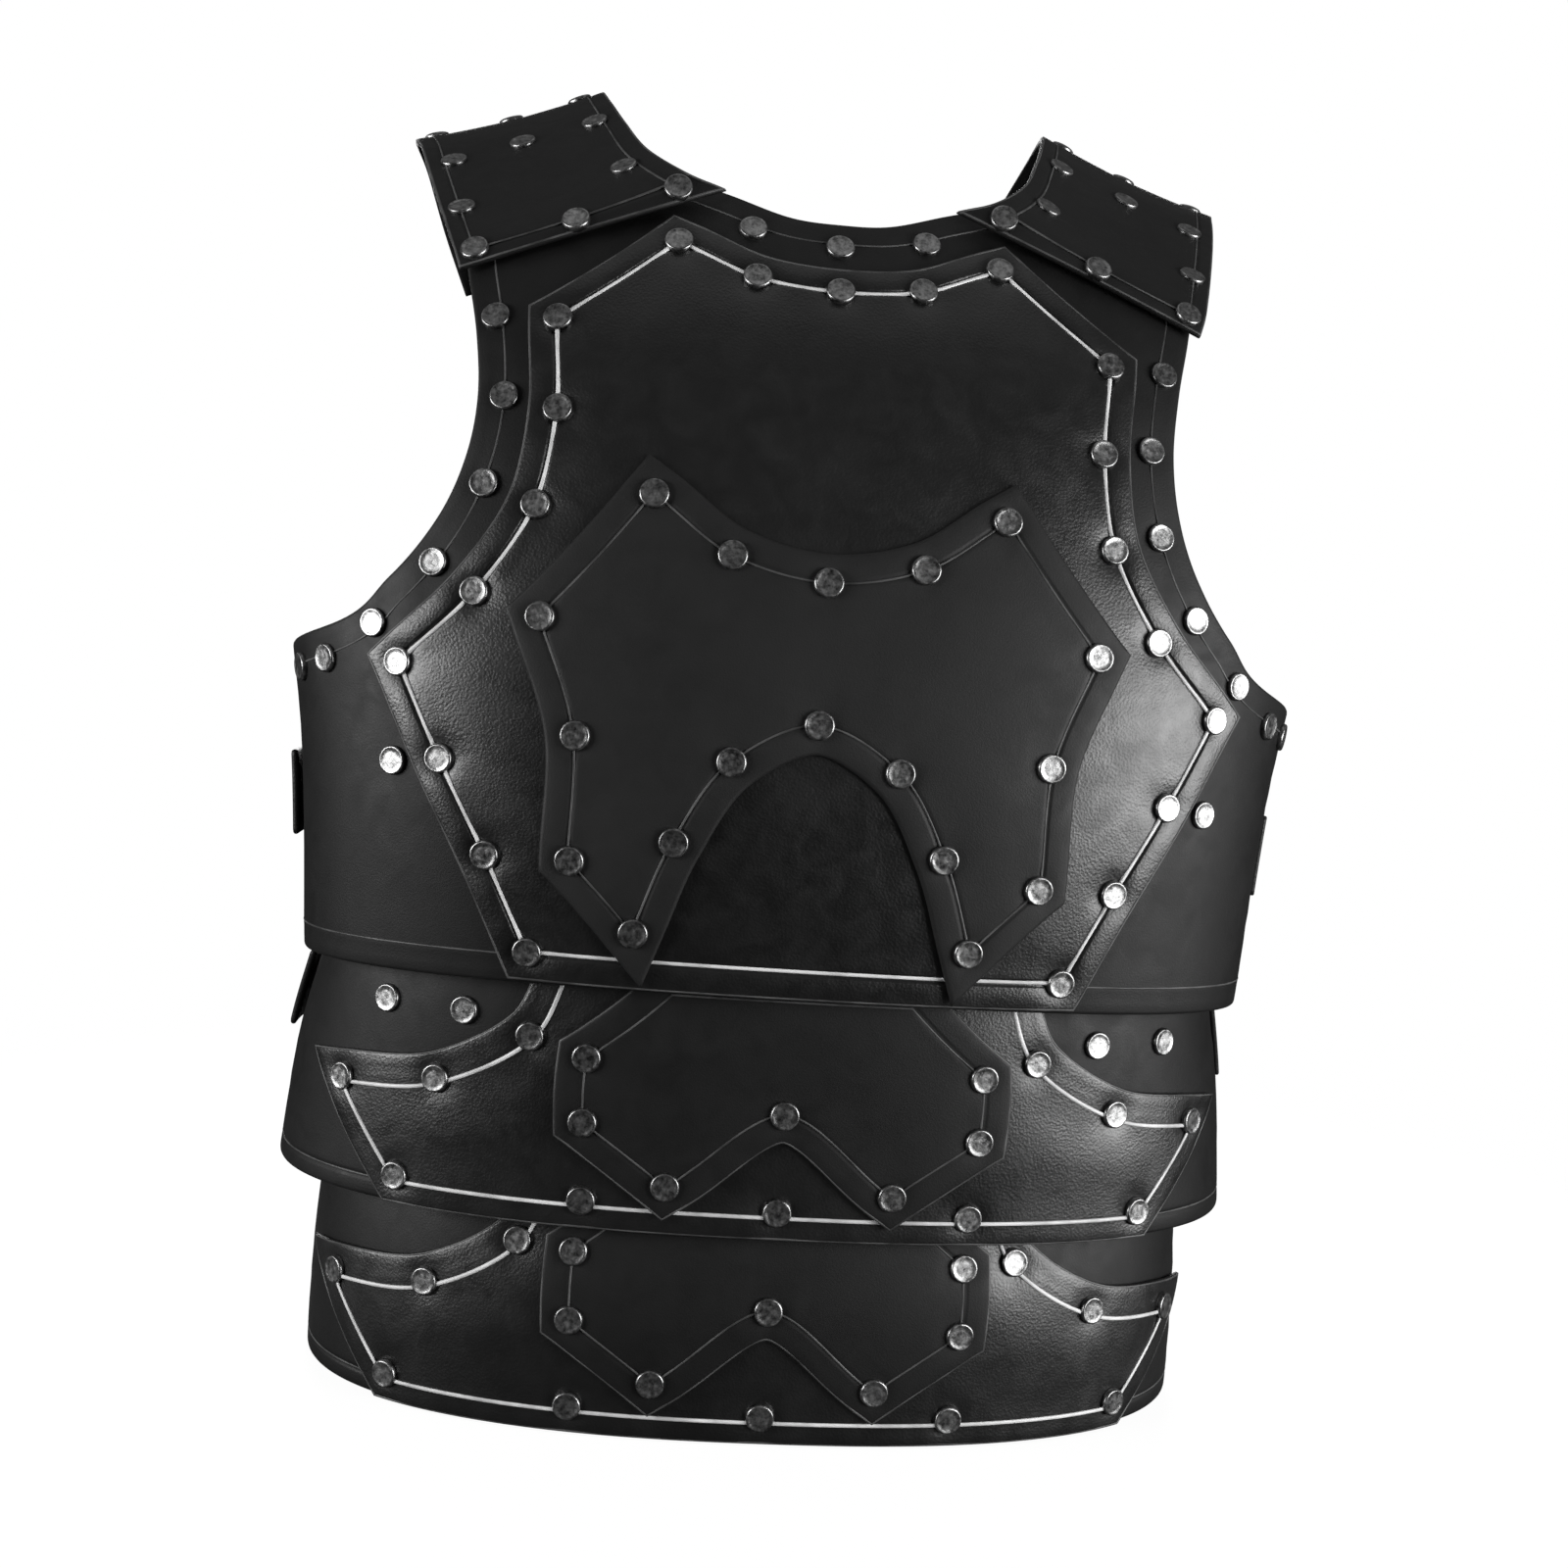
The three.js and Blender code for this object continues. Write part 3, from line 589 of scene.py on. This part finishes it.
def line_material(name, light, dark, rough):
    """The bead in a pressed line or along a cut edge, whose grey is a painted highlight standing in
    for light caught by a groove's wall or an edge: a grey that comes and goes along it.
    """
    material, tree, shader, add = node_material(name)
    place = add("ShaderNodeTexCoord")
    highlight_patches = add("ShaderNodeTexNoise", Scale=45.0, Detail=3.0, Roughness=0.65)
    tree.links.new(place.outputs["Object"], highlight_patches.inputs["Vector"])
    tone = ramp_between(add, 0.36, 0.6, dark, light)
    tree.links.new(highlight_patches.outputs["Fac"], tone.inputs["Fac"])
    tree.links.new(tone.outputs["Color"], shader.inputs["Base Color"])
    shader.inputs["Roughness"].default_value = rough
    return material


def steel_material(name, dark, light, dent):
    """Darkened steel with a slightly worn face, from a dark to a light grey, and fine dents."""
    material, tree, shader, add = node_material(name)
    place = add("ShaderNodeTexCoord")
    mottle = add("ShaderNodeTexNoise", Scale=420.0, Detail=4.0, Roughness=0.7)
    tree.links.new(place.outputs["Object"], mottle.inputs["Vector"])
    tone = ramp_between(add, 0.35, 0.7, dark, light)
    tree.links.new(mottle.outputs["Fac"], tone.inputs["Fac"])
    tree.links.new(tone.outputs["Color"], shader.inputs["Base Color"])
    gloss = mapped(add, 0.3, 0.7, 0.26, 0.42)
    tree.links.new(mottle.outputs["Fac"], gloss.inputs["Value"])
    tree.links.new(gloss.outputs["Result"], shader.inputs["Roughness"])
    shader.inputs["Metallic"].default_value = 1.0
    bump = add("ShaderNodeBump", Strength=dent, Distance=0.0003)
    tree.links.new(mottle.outputs["Fac"], bump.inputs["Height"])
    tree.links.new(bump.outputs["Normal"], shader.inputs["Normal"])
    return material


grain_leather = leather_material("Black grain leather", greys=(0.003, 0.008), rough=0.37,
                                 grain=0.17, pore_scale=900.0, shine=0.7)
smooth_leather = leather_material("Black smooth leather", greys=(0.004, 0.009), rough=0.56,
                                  grain=0.1, pore_scale=1300.0, shine=0.34)
# A copy of the smooth leather with a lighter dye for the chest's centre plate: the lighter dye is
# painted light.
centre_leather_painted_lighter = leather_material("Black smooth leather painted lighter", greys=(0.010, 0.017), rough=0.56,
                                  grain=0.1, pore_scale=1300.0, shine=0.34)
strap_leather = leather_material("Black strap leather", greys=(0.004, 0.009), rough=0.5,
                                 grain=0.2, pore_scale=1000.0, shine=0.4)
# Painted highlights: the near-white bead stands for the light caught by the pressed lines of the
# chest and waist plates, the faint grey one for the fainter light in the other pressed lines and
# along cut edges.
bright_line = line_material("Painted highlight line", light=0.95, dark=0.6, rough=0.35)
faint_line = line_material("Faint highlight line", light=0.11, dark=0.035, rough=0.45)
rivet_steel = steel_material("Darkened rivet steel", dark=0.13, light=0.5, dent=0.35)
clasp_steel = steel_material("Brushed clasp steel", dark=0.2, light=0.28, dent=0.1)

# ------------------------------------------------------------------ the torso's plates
torso = torso_form(TORSO)


def both_sides(rows, half):
    """The rivets of a half line and of its mirror image, as flat points."""
    kept = [p for p in half if "bare" not in p]
    right = [flat_point(rows, p, 1, False) for p in kept]
    return right + [flat_point(rows, p, -1, False) for p in kept if p[0] != 0]


def numbered(name, count):
    """Names of the CAD nodes of a row of separate rivets."""
    return [f"{name}_{i + 1}" for i in range(count)]


def edge_of(form, line_runs):
    """A plate's cut edge, RIM outside its line of rivets, split in runs like the line."""
    ring = inset_ring(form, line_runs, -RIM)
    ends = np.cumsum([len(run) - 1 for run in line_runs])
    return [np.vstack([part, ring[end % len(ring)]]) for part, end
            in zip(np.split(ring, ends[:-1]), ends)]


def front_torso():
    """The front leather, the chest plate on it and the centre plate on that."""
    base_runs = drawn_runs(torso, whole_ring(TORSO, FRONT_EDGE))
    chest_rivets = both_sides(TORSO, CHEST_LINE)
    neck, armhole = both_sides(TORSO, NECK_RIVETS), both_sides(TORSO, ARMHOLE_RIVETS)
    straps, centre = both_sides(TORSO, STRAP_RIVETS), both_sides(TORSO, CENTRE_LINE)
    tips = both_sides(TORSO, TIP_RIVETS)
    leather_plate("front_leather", torso, base_runs, 0, smooth_leather, ["front_base"],
                  groove=0.0, rivets=neck + armhole + straps + tips, spacing=7.0)
    line_runs = drawn_runs(torso, whole_ring(TORSO, LINE_EDGE))
    # Its bead's faint grey is a painted highlight.
    pressed_line("front_leather_line", torso, line_runs, RIM, -0.1, faint_line, height=0.3)
    chest_runs = edge_of(torso, drawn_runs(torso, whole_ring(TORSO, CHEST_LINE)))
    leather_plate("chest_leather", torso, chest_runs, LAYER, grain_leather, ["chest_plate"],
                  groove=1.0, crown=1.0, rivets=chest_rivets, dimple=2.0, spacing=3.5)
    # The bead in the chest plate's line, painted near white as a highlight.
    pressed_line("chest_line", torso, chest_runs, RIM + 0.3, LAYER - 0.6, bright_line,
                 width=HIGHLIGHT_BEAD_WIDTH, height=0.75)
    # A bead along the cut edge, in the faint grey of a painted highlight.
    pressed_line("chest_edge", torso, chest_runs, EDGE_IN, LAYER - 0.55, faint_line,
                 width=EDGE_WIDTH, height=0.4)
    centre_runs = edge_of(torso, drawn_runs(torso, whole_ring(TORSO, CENTRE_LINE)))
    # The centre plate takes the copy of the smooth leather whose lighter dye is painted light.
    leather_plate("centre_leather_painted_lighter", torso, centre_runs, 2 * LAYER, centre_leather_painted_lighter, ["centre_plate"],
                  groove=0.4, crown=0.4, rivets=centre, dimple=0.9)
    # Its bead's faint grey is a painted highlight.
    pressed_line("centre_line", torso, centre_runs, RIM, 2 * LAYER - 0.3, faint_line,
                 height=0.3)
    rivet_heads("chest_rivets", torso, chest_rivets, LAYER - 0.7, rivet_steel,
                numbered("chest_rivet", len(chest_rivets)))
    rivet_heads("centre_rivets", torso, centre, 2 * LAYER + HEAD_SUNK, rivet_steel)
    for kind, flats in (("neck", neck), ("armhole", armhole), ("strap", straps)):
        rivet_heads(f"{kind}_rivets", torso, flats, HEAD_SUNK, rivet_steel,
                    numbered(f"{kind}_rivet", len(flats)))
    rivet_heads("tip_rivets", torso, tips, HEAD_SUNK, rivet_steel)


def back_torso():
    """The plain back leather with its pressed line."""
    runs = drawn_runs(torso, whole_ring(TORSO, BACK_EDGE, behind=True))
    leather_plate("back_leather", torso, runs, 0, smooth_leather, ["back_base"], spacing=8.0)
    # Its bead's faint grey is a painted highlight.
    pressed_line("back_leather_line", torso, runs, RIM, LINE_SUNK, faint_line)


# ------------------------------------------------------------------ the waist lames
def lame(name, rows, hem, rise, band_rivets):
    """One waist lame: a front band, its shaped plate and centre plate, and a back band."""
    form = torso_form(rows)
    top = hem + BAND_HEIGHT

    def lifted(half, by):
        return [(p[0], p[1] + by, *p[2:]) for p in half]

    def band(side, left, right, rivets):
        runs = boxed_runs(form, np.radians(left) * FLAT, np.radians(right) * FLAT, hem, top)
        piece = f"{name}_{side}"
        leather_plate(f"{piece}_leather", form, runs, 0, smooth_leather, [f"{piece}_band"],
                      line=HEM, rivets=rivets, spacing=8.0)
        # Its bead's faint grey is a painted highlight.
        pressed_line(f"{piece}_line", form, runs, HEM, LINE_SUNK, faint_line)
        if rivets:
            rivet_heads(f"{piece}_rivets", form, rivets, HEAD_SUNK, rivet_steel)

    def shaped(suffix, half, out, leather, line, bead):
        rivets = both_sides(rows, half)
        runs = edge_of(form, drawn_runs(form, whole_ring(rows, half)))
        leather_plate(f"{name}_{suffix}_leather", form, runs, out, leather, [f"{name}_{suffix}"],
                      groove=bead["groove"], crown=bead["crown"], rivets=rivets,
                      dimple=bead["dimple"], spacing=4.0)
        # A bead along the cut edge, in the faint grey of a painted highlight.
        pressed_line(f"{name}_{suffix}_edge", form, runs, EDGE_IN, out - 0.6, faint_line,
                     width=EDGE_WIDTH)
        lowered = drawn_runs(form, whole_ring(rows, lifted(half, -bead["drop"])))
        # The bead in the pressed line, in the grey of a painted highlight.
        pressed_line(f"{name}_{suffix}_line", form, lowered, 0, out - bead["groove"], line,
                     width=bead["width"], height=bead["height"])
        rivet_heads(f"{name}_{suffix}_rivets", form, rivets, out - 0.4, rivet_steel)

    ends = both_sides(rows, lifted(LAME_BAND_RIVETS, hem)) if band_rivets else []
    band("front", -FRONT_TURN, FRONT_TURN, ends)
    band("back", BACK_TURN, 360 - BACK_TURN, [])
    # The plate's bead is painted near white as a highlight, the centre's in the faint grey of a
    # painted highlight.
    shaped("plate", lifted(LAME_PLATE_LINE, hem), LAYER, grain_leather, bright_line,
           {"groove": 0.0, "crown": 0.7, "dimple": 1.7, "width": HIGHLIGHT_BEAD_WIDTH, "height": 0.6,
            "drop": 2.3, "slot": "black_leather"})
    shaped("centre", lifted(LAME_CENTRE_LINE, hem + rise), 2 * LAYER, smooth_leather, faint_line,
           {"groove": 0.2, "crown": 0.4, "dimple": 0.8, "width": LINE_WIDTH,
            "height": LINE_HEIGHT, "drop": 0, "slot": "smooth_leather"})


# ------------------------------------------------------------------ shoulders and straps
def shoulder_caps():
    """Both shoulder caps: the right one on its form, and its mirror image."""
    length = (len(SHOULDER) - 1) * CAP_PITCH
    runs = boxed_runs(cap_form, 0, CAP_WIDTH, 0, length)
    flats = [np.array([share * CAP_WIDTH, row * CAP_PITCH]) for row, share in SHOULDER_RIVETS]
    for side, mirror in (("right", False), ("left", True)):
        leather_plate(f"{side}_cap_leather", cap_form, runs, 0, smooth_leather,
                      [f"{side}_shoulder_cap"], rivets=flats, dimple=0.5, line=CAP_RIM,
                      mirror=mirror)
        # Its bead's faint grey is a painted highlight.
        pressed_line(f"{side}_cap_line", cap_form, runs, CAP_RIM, LINE_SUNK, faint_line,
                     mirror=mirror)
        # A bead along the cut edge, in the faint grey of a painted highlight.
        pressed_line(f"{side}_cap_edge", cap_form, runs, EDGE_IN, -0.55, faint_line,
                     width=1.2, height=0.4, mirror=mirror)
        rivet_heads(f"{side}_cap_rivets", cap_form, flats, CAP_HEAD_SUNK, rivet_steel,
                    mirror=mirror)


def side_straps():
    """The straps from the back leather to the front leather, each with its plain clasp."""
    for strap in STRAPS:
        form, name = torso_form(strap["rows"]), strap["name"]
        turns = [np.radians(turn) * FLAT for turn in STRAP_TURNS + CLASP_TURNS]
        low, high = strap["low"], strap["high"]
        runs = boxed_runs(form, turns[0], turns[1], low, high)
        plate = boxed_runs(form, turns[2], turns[3], low - CLASP_MARGIN, high + CLASP_MARGIN)
        for side, mirror in (("right", False), ("left", True)):
            leather_plate(f"{side}_{name}_strap_leather", form, runs, STRAP_OUT, strap_leather,
                          [f"{side}_{name}_strap"], line=4.0, groove=0.4, mirror=mirror)
            leather_plate(f"{side}_{name}_clasp_steel", form, plate, CLASP_OUT, clasp_steel,
                          [f"{side}_{name}_clasp"], line=5.0, groove=0.0, mirror=mirror)


# ------------------------------------------------------------------ camera, floor and light
def look_from(place, yaw, pitch, roll, lens):
    """The camera at a place in metres, turned by yaw from +Y, pitched down, then rolled."""
    a, e, r = np.radians([yaw, pitch, roll])
    back = np.array([np.sin(a) * np.cos(e), -np.cos(a) * np.cos(e), np.sin(e)])
    level = np.array([np.cos(a), np.sin(a), 0])
    up = np.cross(back, level)
    right = np.cos(r) * level + np.sin(r) * up
    camera = bpy.data.objects.new("Camera", bpy.data.cameras.new("Camera"))
    turned = np.stack([right, np.cross(back, right), back], -1)
    camera.matrix_world = Matrix.Translation(place) @ Matrix(turned.tolist()).to_4x4()
    camera.data.lens, camera.data.sensor_width = lens, 36.0
    camera.data.clip_start, camera.data.clip_end = 0.01, 50
    scene.collection.objects.link(camera)
    scene.camera = camera


def area_light(name, place, target, size, power):
    """A rectangular soft box that faces a target."""
    light = bpy.data.lights.new(name, "AREA")
    light.shape, light.size, light.size_y, light.energy = "RECTANGLE", *size, power
    lamp = bpy.data.objects.new(name, light)
    facing = (Vector(target) - Vector(place)).to_track_quat("-Z", "Y")
    lamp.matrix_world = Matrix.Translation(place) @ facing.to_matrix().to_4x4()
    scene.collection.objects.link(lamp)


FLOOR_GLOW = 0.94               # the floor's brightness for the camera
FLOOR_FADE = (0.3, 0.75)        # metres from the middle at which it begins and ends to fade


def white_floor():
    """A white floor just under the hem, which fades out in a ring round the cuirass."""
    bpy.ops.mesh.primitive_plane_add(size=6, location=(0, 0, -0.0005))
    floor = bpy.context.object
    floor.name = "Floor"
    material, tree, shader, add = node_material("White floor")
    shader.inputs["Base Color"].default_value = (0.1, 0.1, 0.1, 1)
    shader.inputs["Roughness"].default_value = 0.9
    shader.inputs["Emission Color"].default_value = (1, 1, 1, 1)
    seen = add("ShaderNodeLightPath")
    glow = add("ShaderNodeMath", operation="MULTIPLY")
    glow.inputs[1].default_value = FLOOR_GLOW
    tree.links.new(seen.outputs["Is Camera Ray"], glow.inputs[0])
    tree.links.new(glow.outputs["Value"], shader.inputs["Emission Strength"])
    place = add("ShaderNodeTexCoord")
    distance = add("ShaderNodeVectorMath", operation="LENGTH")
    fade = mapped(add, *FLOOR_FADE, 1.0, 0.0, interpolation_type="SMOOTHSTEP")
    tree.links.new(place.outputs["Object"], distance.inputs[0])
    tree.links.new(distance.outputs["Value"], fade.inputs["Value"])
    tree.links.new(fade.outputs["Result"], shader.inputs["Alpha"])
    floor.data.materials.append(material)


SOFT_BOXES = [          # name, place and target in metres, width and height, power in watts
    ("Left soft box", (-1.46, -0.59, 0.46), (0, 0, 0.35), (0.95, 0.5), 17),
    ("Right soft box", (1.3, -0.86, 0.35), (0, 0, 0.3), (1.1, 0.72), 23),
    ("Top soft box", (0, -0.1, 2.0), (0, 0, 0.3), (1.6, 1.2), 2),
    ("Back soft box", (0, 1.7, 0.8), (0, 0, 0.3), (1.6, 0.9), 30),
]


def studio():
    """A white backdrop, which lights the leather as a dim room does, darker towards the floor,
    and the soft boxes: one at each side, one above and one behind."""
    world = bpy.data.worlds.new("White backdrop")
    scene.world = world
    world.use_nodes = True
    tree = world.node_tree
    background = tree.nodes["Background"]
    background.inputs["Color"].default_value = (1, 1, 1, 1)
    add = node_adder(tree)
    path, height, place, strength = (add(f"ShaderNode{kind}") for kind in (
        "LightPath", "SeparateXYZ", "TexCoord", "MapRange"))
    dim = mapped(add, -0.2, 0.35, 0.006, 0.115)
    tree.links.new(place.outputs["Generated"], height.inputs["Vector"])
    tree.links.new(height.outputs["Z"], dim.inputs["Value"])
    tree.links.new(dim.outputs["Result"], strength.inputs["To Min"])
    tree.links.new(path.outputs["Is Camera Ray"], strength.inputs["Value"])
    tree.links.new(strength.outputs["Result"], background.inputs["Strength"])
    for soft_box in SOFT_BOXES:
        area_light(*soft_box)
    scene.view_settings.view_transform = "Standard"


front_torso()
back_torso()
for spec in LAMES:
    lame(**spec)
shoulder_caps()
side_straps()
white_floor()
studio()
look_from(place=(-0.0789, -0.8777, 0.3467), yaw=-5.12, pitch=4.55, roll=4.32, lens=42.64)
